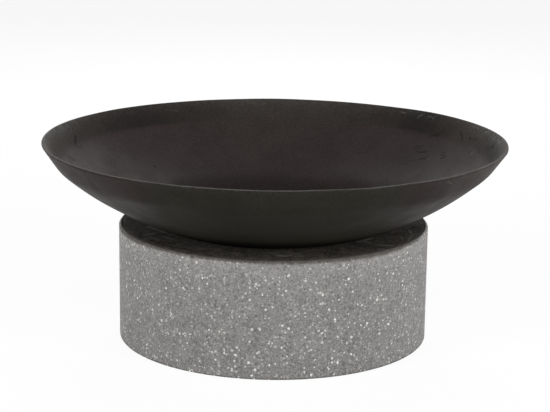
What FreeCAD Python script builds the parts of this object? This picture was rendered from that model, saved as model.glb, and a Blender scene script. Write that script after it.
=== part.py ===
"""Round fire bowl on a low speckled base, as a parametric model in millimetres.

The part stands on the floor with its axis on Z. The base is a hollow casting, open below, with a
black ring let into its top. The bowl is a separate dish that rests on the bevelled edge of the ring's
round opening and lifts straight off. Every driving size is a cell of the sheet "sizes".
"""
import FreeCAD, Part
import math
import os

import Sketcher
from FreeCAD import Vector

# Driving sizes: name, value, what it sets
SIZES = (
    ("rim_diameter", 594.0, "greatest width of the bowl, across its lip"),
    ("dish_depth", 84.0, "height of the ball-shaped dish, from the flat to the crease"),
    ("band_height", 29.5, "height of the steep band, from the crease to the top of the lip"),
    ("band_slope", 55.3, "degrees, the band's steepness from level"),
    ("crease_radius", 57.0, "outside radius of the soft bend between dish and band"),
    ("bowl_wall", 4.0, "thickness of the bowl, the same all over"),
    ("base_diameter", 400.0, "outside of the base"),
    ("base_height", 148.0, "floor to the top of the base"),
    ("shell_wall", 14.0, "wall of the base at its foot"),
    ("mould_draft", 1.5, "degrees, taper of the base's hollow"),
    ("flange_thickness", 12.0, "cement under the ring, which carries it"),
    ("corner_bevel", 10.0, "bevelled cast corner between the wall and the flange"),
    ("border_width", 4.0, "cement border that shows round the ring"),
    ("border_bevel", 1.2, "bevel of the border's outer edge"),
    ("foot_bevel", 2.5, "bevel of the base's outer bottom edge"),
    ("ring_thickness", 6.0, "thickness of the black ring"),
    ("ring_joint", 0.5, "joint between the ring and the border"),
    ("ring_overhang", 4.0, "how far the ring reaches inwards past the flange"),
    ("opening_diameter", 275.0, "round opening of the ring, which the dish sits in"),
    ("seat_width", 2.8, "bevel of the opening's upper edge, seen from above, which the dish rests on"),
    ("seat_gap", 0.3, "running gap between the dish and its seat"),
    ("flat_clearance", 12.5, "how far the bowl's flat underside stays inside the opening"),
)

# The dish is a ball and its seat a cone that the ball touches halfway across. These give the radius of
# the touching circle, the ball's radius with the gap, how high the ball's centre lies above the circle,
# and how far the cone goes down.
SEAT_RADIUS = "((sizes.opening_diameter + sizes.seat_width) / 2 * 1 mm)"
SEAT_REACH = "(bowl_profile.Constraints.dish_radius + sizes.seat_gap * 1 mm)"
SEAT_RISE = f"sqrt({SEAT_REACH} ^ 2 - {SEAT_RADIUS} ^ 2)"
SEAT_DROP = f"(sizes.seat_width * 1 mm * {SEAT_RADIUS} / {SEAT_RISE})"


def make_sheet(doc):
    """Write the driving sizes into a sheet, one row each, and return their values."""
    sheet = doc.addObject("Spreadsheet::Sheet", "sizes")
    for row, (name, value, meaning) in enumerate(SIZES, start=1):
        sheet.set(f"A{row}", name)
        sheet.set(f"B{row}", str(value))
        sheet.set(f"C{row}", meaning)
        sheet.setAlias(f"B{row}", name)
    doc.recompute()
    return {name: float(sheet.get(name)) for name, _, _ in SIZES}


def new_body(doc, label):
    """Start a sub-part, whose label names its file."""
    body = doc.addObject("PartDesign::Body", label)
    body.Label = label
    return body


def new_sketch(body, name, plane_role):
    """Start a sketch on one of the body's own origin planes."""
    sketch = body.newObject("Sketcher::SketchObject", name)
    plane = next(f for f in body.Origin.OriginFeatures if f.Role == plane_role)
    sketch.AttachmentSupport = [(plane, "")]
    sketch.MapMode = "FlatFace"
    return sketch


def bind(sketch, constraint, name, expression):
    """Add a dimension to a sketch and tie it to the sheet."""
    index = sketch.addConstraint(constraint)
    sketch.renameConstraint(index, name)
    sketch.setExpression(f"Constraints.{name}", expression)
    return index


def measure(sketch, constraint, name):
    """Add a dimension that follows from the others, for expressions to read."""
    index = sketch.addConstraint(constraint)
    sketch.renameConstraint(index, name)
    sketch.setDriving(index, False)


def circle_sketch(body, name, radius, expression):
    """A sketch on the floor plane with one circle about the axis."""
    sketch = new_sketch(body, name, "XY_Plane")
    circle = sketch.addGeometry(Part.Circle(Vector(), Vector(0, 0, 1), radius))
    sketch.addConstraint(Sketcher.Constraint("Coincident", circle, 3, -1, 1))
    bind(sketch, Sketcher.Constraint("Radius", circle, radius), "radius", expression)
    return sketch


def raise_sketch(sketch, expression):
    """Lift a sketch off the floor plane."""
    sketch.setExpression("AttachmentOffset.Base.z", expression)


def pad(body, name, sketch, expression):
    """Pad a sketch upwards."""
    feature = body.newObject("PartDesign::Pad", name)
    feature.Profile = sketch
    feature.setExpression("Length", expression)
    sketch.Visibility = False
    return feature


def pocket_up(body, name, sketch, expression, draft=None):
    """Cut upwards from a sketch, with the cut narrowing by the draft angle."""
    feature = body.newObject("PartDesign::Pocket", name)
    feature.Profile = sketch
    feature.Reversed = True
    feature.setExpression("Length", expression)
    if draft:
        feature.setExpression("TaperAngle", draft)
    sketch.Visibility = False
    return feature


def edge_at(feature, radius, height):
    """Name of the feature's round edge about the axis at one radius and height."""
    near = 1e-3
    for number, edge in enumerate(feature.Shape.Edges, start=1):
        curve = edge.Curve
        if not isinstance(curve, Part.Circle):
            continue
        if abs(curve.Radius - radius) < near and abs(curve.Center.z - height) < near:
            return f"Edge{number}"
    raise RuntimeError(f"{feature.Label}: no round edge at radius {radius}, height {height}")


def bevel_edge(body, name, base, radius, height, expression):
    """Bevel the round edge that lies at one radius and height of the base feature."""
    feature = body.newObject("PartDesign::Chamfer", name)
    feature.Base = (base, [edge_at(base, radius, height)])
    feature.setExpression("Size", expression)
    body.Document.recompute()
    return feature


def make_base_shell(doc, size):
    """Hollow speckled casting: outer drum, drafted hollow, flange with its opening, ring recess."""
    body = new_body(doc, "base_shell")
    outside = size["base_diameter"] / 2
    hollow = outside - size["shell_wall"]
    top = size["base_height"]
    ceiling = top - size["ring_thickness"] - size["flange_thickness"]

    drum = circle_sketch(body, "drum_circle", outside, "sizes.base_diameter / 2")
    pad(body, "drum", drum, "sizes.base_height")

    inside = circle_sketch(body, "hollow_circle", hollow, "sizes.base_diameter / 2 - sizes.shell_wall")
    pocket_up(
        body, "hollow", inside,
        "sizes.base_height - sizes.ring_thickness - sizes.flange_thickness",
        draft="-sizes.mould_draft",
    )

    hole = circle_sketch(
        body, "flange_circle", size["opening_diameter"] / 2 + size["ring_overhang"],
        "sizes.opening_diameter / 2 + sizes.ring_overhang",
    )
    pocket_up(body, "flange_opening", hole, "sizes.base_height")

    seat = circle_sketch(
        body, "recess_circle", outside - size["border_width"],
        "sizes.base_diameter / 2 - sizes.border_width",
    )
    raise_sketch(seat, "sizes.base_height - sizes.ring_thickness")
    recess = pocket_up(body, "ring_recess", seat, "sizes.ring_thickness")
    doc.recompute()

    ceiling_radius = hollow - ceiling * math.tan(math.radians(size["mould_draft"]))
    corner = bevel_edge(body, "cast_corner", recess, ceiling_radius, ceiling, "sizes.corner_bevel")
    foot = bevel_edge(body, "foot_edge", corner, outside, 0, "sizes.foot_bevel")
    bevel_edge(body, "border_edge", foot, outside, top, "sizes.border_bevel")
    return body


def make_top_ring(doc, size):
    """Black ring, flush with the base's border, its opening bevelled to the slope of the dish."""
    body = new_body(doc, "top_ring")
    opening = size["opening_diameter"] / 2
    disc = circle_sketch(
        body, "ring_circle", size["base_diameter"] / 2 - size["border_width"] - size["ring_joint"],
        "sizes.base_diameter / 2 - sizes.border_width - sizes.ring_joint",
    )
    pad(body, "ring_plate", disc, "sizes.ring_thickness")
    hole = circle_sketch(body, "opening_circle", opening, "sizes.opening_diameter / 2")
    plate = pocket_up(body, "opening", hole, "sizes.ring_thickness")
    doc.recompute()

    seat = bevel_edge(body, "seat", plate, opening, size["ring_thickness"], "sizes.seat_width")
    seat.ChamferType = "Two distances"
    seat.setExpression("Size2", SEAT_DROP)
    body.setExpression("Placement.Base.z", "sizes.base_height - sizes.ring_thickness")
    return body


def bowl_points(size):
    """Where the bowl's profile bends, worked out in closed form so that the sketch starts solved."""
    slope = math.radians(size["band_slope"])
    wall = size["bowl_wall"]
    depth = size["dish_depth"]
    flat = size["opening_diameter"] / 2 - size["flat_clearance"]
    along = Vector(math.cos(slope), math.sin(slope), 0)
    inwards = Vector(-math.sin(slope), math.cos(slope), 0)
    # The outer band ends where the wall, measured square to it, meets the inner edge of the level lip
    lip = Vector(size["rim_diameter"] / 2, depth + size["band_height"] - wall * inwards.y, 0)
    crease_x = lip.x - (lip.y - depth) / math.tan(slope)
    # The ball passes through the edge of the flat and through the crease, with its centre on the axis
    ball = Vector(0, (crease_x ** 2 + depth ** 2 - flat ** 2) / (2 * depth), 0)
    radius = math.hypot(flat, ball.y)
    # Centre of the bend: inside the band's line by its own radius, and on a smaller ball
    corner = Vector(crease_x, depth, 0)
    start = corner - ball + inwards * size["crease_radius"]
    reach = -start.dot(along)
    reach -= math.sqrt(start.dot(along) ** 2 - start.dot(start) + (radius - size["crease_radius"]) ** 2)
    return {
        "inwards": inwards,
        "lip": lip,
        "lip_corner": Vector(lip.x, depth + size["band_height"], 0),
        "corner": corner,
        "ball": ball,
        "radius": radius,
        "bend": ball + start + along * reach,
        "flat": flat,
        "inner_flat": math.sqrt((radius - wall) ** 2 - (ball.y - wall) ** 2),
    }


def draw_bowl_profile(body, size):
    """Half section of the bowl: flat, dish, bend, band and level lip outside, the same inside."""
    sketch = new_sketch(body, "bowl_profile", "XZ_Plane")
    at = bowl_points(size)
    normal = Vector(0, 0, 1)
    wall = size["bowl_wall"]
    flat, ball, bend, lip = at["flat"], at["ball"], at["bend"], at["lip"]
    bend_radius = size["crease_radius"]
    through_wall = at["inwards"] * wall
    band_start = bend - at["inwards"] * bend_radius
    band_angle = math.atan2(-at["inwards"].y, -at["inwards"].x)
    tangent_angle = math.atan2(bend.y - ball.y, bend.x)
    outer_angle = math.atan2(-ball.y, flat)
    inner_angle = math.atan2(wall - ball.y, at["inner_flat"])

    def arc(centre, radius, start, end):
        return sketch.addGeometry(Part.ArcOfCircle(Part.Circle(centre, normal, radius), start, end))

    def line(start, end):
        return sketch.addGeometry(Part.LineSegment(start, end))

    outer_flat = line(Vector(), Vector(flat, 0, 0))
    outer_dish = arc(ball, at["radius"], outer_angle, tangent_angle)
    outer_bend = arc(bend, bend_radius, tangent_angle, band_angle)
    outer_band = line(band_start, lip)
    lip_side = line(lip, at["lip_corner"])
    lip_top = line(at["lip_corner"], lip + through_wall)
    inner_band = line(lip + through_wall, band_start + through_wall)
    inner_bend = arc(bend, bend_radius - wall, tangent_angle, band_angle)
    inner_dish = arc(ball, at["radius"] - wall, inner_angle, tangent_angle)
    inner_flat = line(Vector(at["inner_flat"], wall, 0), Vector(0, wall, 0))
    axis_side = line(Vector(0, wall, 0), Vector())
    corner = sketch.addGeometry(Part.Point(at["corner"]), True)
    across_wall = sketch.addGeometry(Part.LineSegment(lip, lip + through_wall), True)

    start, end, centre = 1, 2, 3
    tie = Sketcher.Constraint
    sketch.addConstraint([
        tie("Coincident", outer_flat, start, -1, 1),
        tie("Horizontal", outer_flat),
        tie("Coincident", outer_flat, end, outer_dish, start),
        tie("PointOnObject", outer_dish, centre, -2),
        tie("Tangent", outer_dish, end, outer_bend, start),
        tie("Tangent", outer_bend, end, outer_band, start),
        tie("Coincident", outer_band, end, lip_side, start),
        tie("Vertical", lip_side),
        tie("Coincident", lip_side, end, lip_top, start),
        tie("Horizontal", lip_top),
        tie("Coincident", lip_top, end, inner_band, start),
        tie("Coincident", across_wall, start, outer_band, end),
        tie("Coincident", across_wall, end, inner_band, start),
        tie("Perpendicular", across_wall, outer_band),
        tie("Tangent", inner_band, end, inner_bend, end),
        tie("Parallel", inner_band, outer_band),
        tie("Coincident", inner_bend, centre, outer_bend, centre),
        tie("Coincident", inner_dish, centre, outer_dish, centre),
        tie("Tangent", inner_bend, start, inner_dish, end),
        tie("Coincident", inner_dish, start, inner_flat, start),
        tie("Horizontal", inner_flat),
        tie("Coincident", inner_flat, end, axis_side, start),
        tie("Vertical", axis_side),
        tie("Coincident", axis_side, end, outer_flat, start),
        tie("PointOnObject", corner, 1, outer_dish),
        tie("PointOnObject", corner, 1, outer_band),
    ])
    bind(
        sketch, tie("DistanceX", -1, 1, outer_flat, end, flat),
        "flat_reach", "sizes.opening_diameter / 2 - sizes.flat_clearance",
    )
    bind(sketch, tie("DistanceX", -1, 1, lip_side, start, lip.x), "lip_reach", "sizes.rim_diameter / 2")
    bind(sketch, tie("Distance", across_wall, wall), "band_wall", "sizes.bowl_wall")
    bind(sketch, tie("DistanceY", -1, 1, inner_flat, end, wall), "flat_wall", "sizes.bowl_wall")
    bind(sketch, tie("DistanceY", -1, 1, corner, 1, size["dish_depth"]), "crease_height", "sizes.dish_depth")
    bind(
        sketch, tie("DistanceY", -1, 1, lip_top, end, size["dish_depth"] + size["band_height"]),
        "lip_height", "sizes.dish_depth + sizes.band_height",
    )
    bind(sketch, tie("Angle", outer_band, math.radians(size["band_slope"])), "slope", "sizes.band_slope")
    bind(sketch, tie("Radius", outer_bend, bend_radius), "bend_radius", "sizes.crease_radius")
    measure(sketch, tie("Radius", outer_dish, at["radius"]), "dish_radius")
    measure(sketch, tie("DistanceY", -1, 1, outer_dish, centre, ball.y), "ball_height")
    return sketch


def make_fire_bowl(doc, size):
    """Dished bowl of one thickness, lowered until the dish clears its seat by the running gap."""
    body = new_body(doc, "fire_bowl")
    sketch = draw_bowl_profile(body, size)
    turned = body.newObject("PartDesign::Revolution", "turned_bowl")
    turned.Profile = sketch
    turned.ReferenceAxis = (sketch, ["V_Axis"])
    turned.Angle = 360
    sketch.Visibility = False
    doc.recompute()
    body.setExpression(
        "Placement.Base.z",
        f"sizes.base_height * 1 mm - {SEAT_DROP} / 2 + {SEAT_RISE} - bowl_profile.Constraints.ball_height",
    )
    return body


def check(doc, parts):
    """Stop if any object failed or any sub-part is empty, invalid or more than one solid."""
    for item in doc.Objects:
        if "Invalid" in item.State or "Error" in item.State:
            raise RuntimeError(f"{item.Label} failed: {item.State}")
    for part in parts:
        shape = part.Shape
        if shape.isNull() or not shape.isValid() or len(shape.Solids) != 1:
            raise RuntimeError(f"{part.Label} is not one valid solid")


def report(parts):
    """Print each sub-part's box and volume."""
    for part in parts:
        box = part.Shape.optimalBoundingBox(False)
        print(
            f"{part.Label}: {box.XLength:.1f} x {box.YLength:.1f} x {box.ZLength:.1f} mm,"
            f" z {box.ZMin:.2f} to {box.ZMax:.2f}, {part.Shape.Volume / 1000:.1f} cm3"
        )


def main():
    doc = FreeCAD.newDocument("fire_bowl_on_base")
    size = make_sheet(doc)
    parts = [make_fire_bowl(doc, size), make_base_shell(doc, size), make_top_ring(doc, size)]
    doc.recompute()
    check(doc, parts)
    report(parts)
    os.makedirs("parts", exist_ok=True)
    for part in parts:
        part.Shape.exportStep(f"parts/{part.Label}.step")


main()
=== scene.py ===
"""Fire bowl on a low speckled base: a blackened iron bowl, a black ring and a speckled cement drum.

Laid out as an add-on: the settings hold the sizes and colours, and each piece has its own operator.
Lengths are in metres unless a table says otherwise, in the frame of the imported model, with the axis on Z
and the floor at zero. Angles round the axis count from +X towards +Y.
"""
import math
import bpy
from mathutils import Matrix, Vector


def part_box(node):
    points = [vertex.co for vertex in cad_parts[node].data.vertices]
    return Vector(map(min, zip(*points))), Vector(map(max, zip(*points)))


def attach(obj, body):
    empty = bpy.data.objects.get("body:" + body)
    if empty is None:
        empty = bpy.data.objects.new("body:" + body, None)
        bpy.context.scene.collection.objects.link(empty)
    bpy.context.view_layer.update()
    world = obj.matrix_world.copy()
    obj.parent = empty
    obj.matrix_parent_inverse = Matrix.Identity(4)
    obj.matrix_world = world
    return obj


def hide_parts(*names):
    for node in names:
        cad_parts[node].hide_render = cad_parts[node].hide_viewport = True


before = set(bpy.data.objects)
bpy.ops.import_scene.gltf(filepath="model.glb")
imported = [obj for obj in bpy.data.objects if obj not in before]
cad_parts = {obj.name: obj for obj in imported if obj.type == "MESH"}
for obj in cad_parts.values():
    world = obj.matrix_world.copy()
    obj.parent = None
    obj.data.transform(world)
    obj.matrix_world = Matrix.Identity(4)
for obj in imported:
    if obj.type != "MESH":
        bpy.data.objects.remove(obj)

from types import SimpleNamespace

import bpy
import numpy as np
from bpy.props import FloatProperty, FloatVectorProperty, IntProperty, PointerProperty
from mathutils import Matrix, Vector

bl_info = {
    "name": "Fire Bowl on Speckled Base",
    "version": (1, 0, 0),
    "blender": (4, 5, 0),
    "location": "View3D > Sidebar > Fire Bowl",
    "description": "Makes an iron fire bowl on a speckled cement base, part by part",
    "category": "Add Mesh",
}

BOWL_LOW, BOWL_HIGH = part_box("fire_bowl")
RING_LOW, RING_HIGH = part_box("top_ring")
_, BASE_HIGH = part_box("base_shell")


# Settings

def length(description, default, soft_max=1.0):
    """A length in metres."""
    return FloatProperty(
        description=description, default=default, min=0.0, soft_max=soft_max,
        precision=4, unit="LENGTH", subtype="DISTANCE",
    )


def angle_setting(description, default, low=-math.pi, high=math.pi):
    """An angle, given in radians and shown in degrees."""
    return FloatProperty(
        description=description, default=default, min=low, max=high, unit="ROTATION", subtype="ANGLE",
    )


def colour(description, default):
    """A colour, linear red, green and blue."""
    return FloatVectorProperty(
        description=description, default=default, size=3, min=0.0, max=1.0, subtype="COLOR",
    )


def number(description, default, low=0.0, high=10.0):
    """A plain number."""
    return FloatProperty(description=description, default=default, min=low, max=high)


def count(description, default, low=0):
    """A whole number."""
    return IntProperty(description=description, default=default, min=low)


def labelled(settings):
    """Label each setting with its own name, spaced and with a capital."""
    for name, setting in settings.__annotations__.items():
        setting.keywords["name"] = name.replace("_", " ").capitalize()
    return settings


@labelled
class BowlSettings(bpy.types.PropertyGroup):
    """Sizes and colours of the iron bowl."""

    rim_radius: length("Greatest radius, over the lip", BOWL_HIGH.x)
    flat_radius: length("Radius of the flat underside", 0.125)
    dish_depth: length("From the flat underside up to the crease", 0.084)
    band_height: length("From the crease up to the lip", 0.0295)
    band_slope: angle_setting("Steepness of the band from level", math.radians(55.3), 0.1, 1.5)
    crease_radius: length("Outside radius of the bend under the band", 0.057)
    flat_bend: length("Outside radius of the bend round the flat", 0.07)
    wall: length("Thickness of the iron", 0.004)
    lip_rounding: length("Worn outer corner of the level lip", 0.00172)
    lip_inner_rounding: length("Inner corner of the level lip", 0.0004)
    fullness: length("How far the dish swells past a true ball", 0.00045, 0.01)
    waviness: length("Height of the soft beaten unevenness", 0.00025, 0.01)
    rim_waviness: length("How far the rim runs out of true", 0.0002, 0.01)
    columns: count("Faces round the bowl", 640, 48)
    seed: count("Seed of the unevenness", 11)
    black: colour("The olive black skin outside", (0.0152, 0.0144, 0.0107))
    brown: colour("The browner skin at its two sides", (0.0180, 0.0133, 0.0121))
    warm: colour("The brown skin of the dish inside", (0.0472, 0.0377, 0.0362))
    wall_skin: colour("The inside of the band", (0.0455, 0.0390, 0.0352))
    dull: colour("The blackest places inside the band", (0.0251, 0.0216, 0.0200))
    # Dust near the lip, and painted sheen on the band at its two ends
    ash: colour("Dusty lighter patches near the lip", (0.140, 0.133, 0.124))
    soot: colour("Black scuffs", (0.0090, 0.0085, 0.0080))
    # Worn lip and scratches, and the painted highlight on the up-facing lip
    bare: colour("Worn lip and scratches", (0.16, 0.155, 0.148))


@labelled
class RingSettings(bpy.types.PropertyGroup):
    """Sizes and colours of the black ring let into the base."""

    outer_radius: length("Outside of the ring", RING_HIGH.x)
    opening_radius: length("Round opening under the dish", 0.1375)
    seat_width: length("Width of the bevel under the dish", 0.0028)
    seat_drop: length("Depth of that bevel", 0.00096)
    edge_rounding: length("Rounding of the ring's edges", 0.0005)
    nibble: length("Depth of the gaps in the outer edge", 0.0001, 0.01)
    columns: count("Faces round the ring", 1200, 48)
    seed: count("Seed of the ragged edge", 5)
    coat: colour("Matt black coat", (0.076, 0.068, 0.060))
    streak: colour("Paler brush marks in the coat", (0.150, 0.138, 0.126))
    scuff: colour("Light scuffs and dust on the coat", (0.22, 0.21, 0.195))


@labelled
class BaseSettings(bpy.types.PropertyGroup):
    """Sizes and colours of the speckled drum."""

    radius: length("Outside of the drum", 0.2)
    height: length("Floor to the top of the drum", BASE_HIGH.z)
    shell_wall: length("Wall of the drum at its foot", 0.014)
    mould_draft: angle_setting("Taper of the hollow", math.radians(1.5), 0.0, 0.2)
    ring_thickness: length("Depth of the recess for the ring", 0.006)
    flange_thickness: length("Cement under the ring", 0.012)
    flange_opening: length("Radius of the hole in the flange", 0.1415)
    border_width: length("Cement border round the ring", 0.004)
    border_bevel: length("Bevel of the top edge, at 45 degrees", 0.0024)
    bevel_rounding: length("Rounding of the bevel's own edges", 0.0008)
    recess_rounding: length("Rounding of the recess's edges", 0.0005)
    edge_wear: length("Depth of the chips in the top edge", 0.00022, 0.01)
    coat_reach: length("How far the coat runs down the side", 0.0046)
    foot_rounding: length("Rounding of the outer bottom edge", 0.0010)
    inner_rounding: length("Rounding of the hidden edges", 0.0015)
    corner_rounding: length("Cast corner under the flange", 0.012)
    columns: count("Faces round the drum", 1200, 48)
    seed: count("Seed of the worn edge", 3)
    cement: colour("Ground colour", (0.262, 0.254, 0.247))
    white_chip: colour("Marble chips", (0.84, 0.83, 0.81))
    pale_chip: colour("Pale grey grains", (0.44, 0.432, 0.42))
    dark_chip: colour("Dark grains", (0.125, 0.121, 0.117))


@labelled
class StageSettings(bpy.types.PropertyGroup):
    """Camera, lamps and floor."""

    lens: number("Focal length in millimetres", 112.70, 1.0, 1000.0)
    sensor: number("Sensor width in millimetres", 36.0, 1.0, 100.0)
    camera_distance: length("In front of the axis", 2.16944, 10.0)
    camera_height: length("Above the floor", 0.694096, 10.0)
    camera_pitch: angle_setting("Downward tilt", 0.237977)
    camera_roll: angle_setting("Turn about the view", 0.0119926)
    camera_yaw: angle_setting("Turn to the right", 0.000746)
    floor_radius: length("Of the round floor", 14.0, 50.0)
    floor: colour("Colour of the floor", (0.80, 0.80, 0.80))
    floor_shadowed: colour("Part of the white floor that takes shadow", (0.16, 0.16, 0.16))
    floor_glow: number("Part of the white floor that takes none", 0.90)
    lamp_distance: length("Of every softbox from the point it faces", 2.6, 10.0)
    lamp_aim: length("Height of that point above the floor", 0.15)
    sky_light: number("Soft light from all round", 0.15)


class FireBowlSettings(bpy.types.PropertyGroup):
    """All settings of the object and its stage."""

    bowl: PointerProperty(type=BowlSettings)
    ring: PointerProperty(type=RingSettings)
    base: PointerProperty(type=BaseSettings)
    stage: PointerProperty(type=StageSettings)


# Shapes worked out as whole arrays

def arc(centre, radius, start, end, steps):
    """Points on a circle: the centre plus the radius turned evenly from the start to the end angle."""
    turn = np.linspace(start, end, steps)
    return np.stack([centre[0] + radius * np.cos(turn), centre[1] + radius * np.sin(turn)], axis=1)


def held_run(start, end, steps):
    """A straight run with one more point close inside each end, which keeps its shading flat.

    That point lies 0.4 mm from its end, or a fifth of the run where the run is short.
    """
    start, end = np.asarray(start, float), np.asarray(end, float)
    near = min(0.0004 / max(np.linalg.norm(end - start), 1e-9), 0.2)
    share = np.concatenate([[0.0], np.linspace(near, 1.0 - near, steps), [1.0]])[:, None]
    return (1 - share) * start + share * end


def chained(pieces):
    """Join stretches of a path, dropping each repeated joint."""
    return np.concatenate([pieces[0]] + [piece[1:] for piece in pieces[1:]])


def rounded_loop(corners):
    """Closed path through corners, each (across, up, rounding, steps in the arc, steps in the run after).

    A rounding of radius r at a corner whose sides turn by t starts r * tan(t / 2) before the corner and
    ends as far after it, on a circle that touches both sides.
    """
    spots = np.array([corner[:2] for corner in corners], float)
    before = np.roll(spots, 1, axis=0) - spots
    after = np.roll(spots, -1, axis=0) - spots
    before /= np.linalg.norm(before, axis=1, keepdims=True)
    after /= np.linalg.norm(after, axis=1, keepdims=True)
    opening = np.arccos(np.clip((before * after).sum(axis=1), -1.0, 1.0))
    radius = np.array([corner[2] for corner in corners], float)
    setback = (radius / np.tan(opening / 2))[:, None]
    first = spots + before * setback
    last = spots + after * setback
    middle = before + after
    middle /= np.linalg.norm(middle, axis=1, keepdims=True)
    centres = spots + middle * (radius / np.sin(opening / 2))[:, None]
    pieces = []
    for index, corner in enumerate(corners):
        start = math.atan2(*(first[index] - centres[index])[::-1])
        end = math.atan2(*(last[index] - centres[index])[::-1])
        turn = (end - start + math.pi) % (2 * math.pi) - math.pi
        pieces.append(arc(centres[index], radius[index], start, start + turn, corner[3] + 1))
        following = first[(index + 1) % len(corners)]
        pieces.append(held_run(last[index], following, corner[4] + 1))
    return chained(pieces)[:-1]


def angles_round(columns):
    """Evenly spaced angles once round the axis."""
    return np.arange(columns) * (2 * np.pi / columns)


def turned(path, columns):
    """Surface of revolution: each path point (across, up) carried once round the axis."""
    angle = angles_round(columns)
    across, up = path[:, :1], path[:, 1:]
    return np.stack([across * np.cos(angle), across * np.sin(angle), up + 0 * angle], axis=-1)


def ragged(angle, seed, low, high, slope=1.0):
    """Uneven curve round the axis: cosines of whole turns from low to high with random phases.

    Each turn count k has strength 1 / k ** slope, and the sum is scaled to a spread of one.
    """
    chance = np.random.default_rng(seed)
    turns = np.arange(low, high + 1)
    strength = chance.normal(size=turns.size) / turns ** slope
    phase = chance.uniform(0, 2 * np.pi, turns.size)
    curve = (strength[:, None] * np.cos(turns[:, None] * angle + phase[:, None])).sum(axis=0)
    return curve / curve.std()


def ripples(points, seed, wavelength, waves=48):
    """Uneven field in space: cosines of plane waves in random directions, scaled to a spread of one.

    The wavelengths spread round the given one, from two thirds of it to half as much again.
    """
    chance = np.random.default_rng(seed)
    direction = chance.normal(size=(waves, 3))
    direction /= np.linalg.norm(direction, axis=1, keepdims=True)
    rates = 2 * np.pi / (wavelength * chance.uniform(0.67, 1.5, waves))
    phase = chance.uniform(0, 2 * np.pi, waves)
    field = np.zeros(points.shape[:-1])
    for along, rate, start in zip(direction, rates, phase):
        field += np.cos(rate * (points @ along) + start)
    return field / math.sqrt(waves / 2)


def hump_round(angle, centre, width):
    """Smooth hump round the axis: a bell curve of the angle from its centre, both in degrees."""
    away = (angle - math.radians(centre) + np.pi) % (2 * np.pi) - np.pi
    return np.exp(-0.5 * (away / math.radians(width)) ** 2)


def humps_round(angle, places):
    """Sum of humps round the axis, each (degrees, width in degrees, height)."""
    return sum(height * hump_round(angle, centre, width) for centre, width, height in places)


def grid_faces(rows, columns, close_rows):
    """Quads of a grid whose columns run round and close, and whose rows may close as well."""
    last = rows if close_rows else rows - 1
    row = np.arange(last)[:, None]
    column = np.arange(columns)[None, :]
    here = row * columns
    above = ((row + 1) % rows) * columns
    beside = (column + 1) % columns
    return np.stack([here + column, here + beside, above + beside, above + column], axis=-1).reshape(-1, 4)


def add_object(name, data):
    """New object in the scene, for a mesh, a lamp or a camera."""
    thing = bpy.data.objects.new(name, data)
    bpy.context.scene.collection.objects.link(thing)
    return thing


def mesh_object(name, vertices, quads, triangles=None):
    """Object from plain arrays of vertices, quads and triangles, shaded smooth."""
    mesh = bpy.data.meshes.new(name)
    corners = quads.reshape(-1)
    sizes = np.full(len(quads), 4)
    if triangles is not None:
        corners = np.concatenate([corners, triangles.reshape(-1)])
        sizes = np.concatenate([sizes, np.full(len(triangles), 3)])
    starts = np.concatenate([[0], np.cumsum(sizes)[:-1]])
    mesh.vertices.add(len(vertices))
    mesh.vertices.foreach_set("co", vertices.astype(np.float32).reshape(-1))
    mesh.loops.add(len(corners))
    mesh.loops.foreach_set("vertex_index", corners.astype(np.int32))
    mesh.polygons.add(len(sizes))
    mesh.polygons.foreach_set("loop_start", starts.astype(np.int32))
    mesh.polygons.foreach_set("use_smooth", np.ones(len(sizes), bool))
    mesh.update(calc_edges=True)
    if mesh.validate():
        raise RuntimeError(f"{name}: the mesh needed repair")
    return add_object(name, mesh)


def loop_object(name, points):
    """Closed ring-shaped piece from a grid of points whose rows close as well as its columns."""
    rows, columns, _ = points.shape
    return mesh_object(name, points.reshape(-1, 3), grid_faces(rows, columns, True))


def capped_object(name, points):
    """Closed piece from a grid whose first and last rows are single points on the axis."""
    rows, columns, _ = points.shape
    body = points[1:-1].reshape(-1, 3)
    vertices = np.concatenate([body, points[0, :1], points[-1, :1]])
    quads = grid_faces(rows - 2, columns, False)
    column = np.arange(columns)
    beside = (column + 1) % columns
    top = (rows - 3) * columns
    first, last = len(body), len(body) + 1
    start_fan = np.stack([np.full(columns, first), beside, column], axis=1)
    end_fan = np.stack([np.full(columns, last), top + column, top + beside], axis=1)
    return mesh_object(name, vertices, quads, np.concatenate([start_fan, end_fan]))


def paint(piece, name, values):
    """Store one number per vertex on a piece, for its material to read."""
    layer = piece.data.attributes.new(name, "FLOAT", "POINT")
    layer.data.foreach_set("value", values.astype(np.float32).reshape(-1))


# Bowl

# Steps along the section of the bowl
FLAT_STEPS, FLAT_BEND_STEPS, DISH_STEPS, CREASE_STEPS, BAND_STEPS = 7, 6, 26, 10, 6
LIP_OUTER_STEPS, LIP_INNER_STEPS = 10, 5

# Where the rim runs out of true: degrees, width in degrees, then how far outwards and upwards
RIM_DENTS = ((2.0, 14.0, 0.0015, 0.0), (60.0, 17.0, 0.0, -0.0011))

# Where dust lies inside the rim, which at the two ends of the band is also painted sheen: degrees, width
# in degrees, share
DUST_AND_SHEEN_PLACES = (
    (5.0, 11.3, 0.90), (30.0, 9.0, 0.06), (171.0, 10.2, 0.58), (145.0, 10.0, 0.06), (195.0, 9.0, 0.65),
    (337.0, 15.0, 0.60), (108.0, 11.0, 0.07), (48.0, 8.0, 0.05),
)
DUST_EVERYWHERE = 0.15

# Where the band is blackest inside, in the same way
BLACKEST = ((131.0, 12.0, 1.00), (44.0, 10.0, 0.88), (2.0, 9.0, 0.60), (163.0, 12.0, 0.40))


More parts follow.
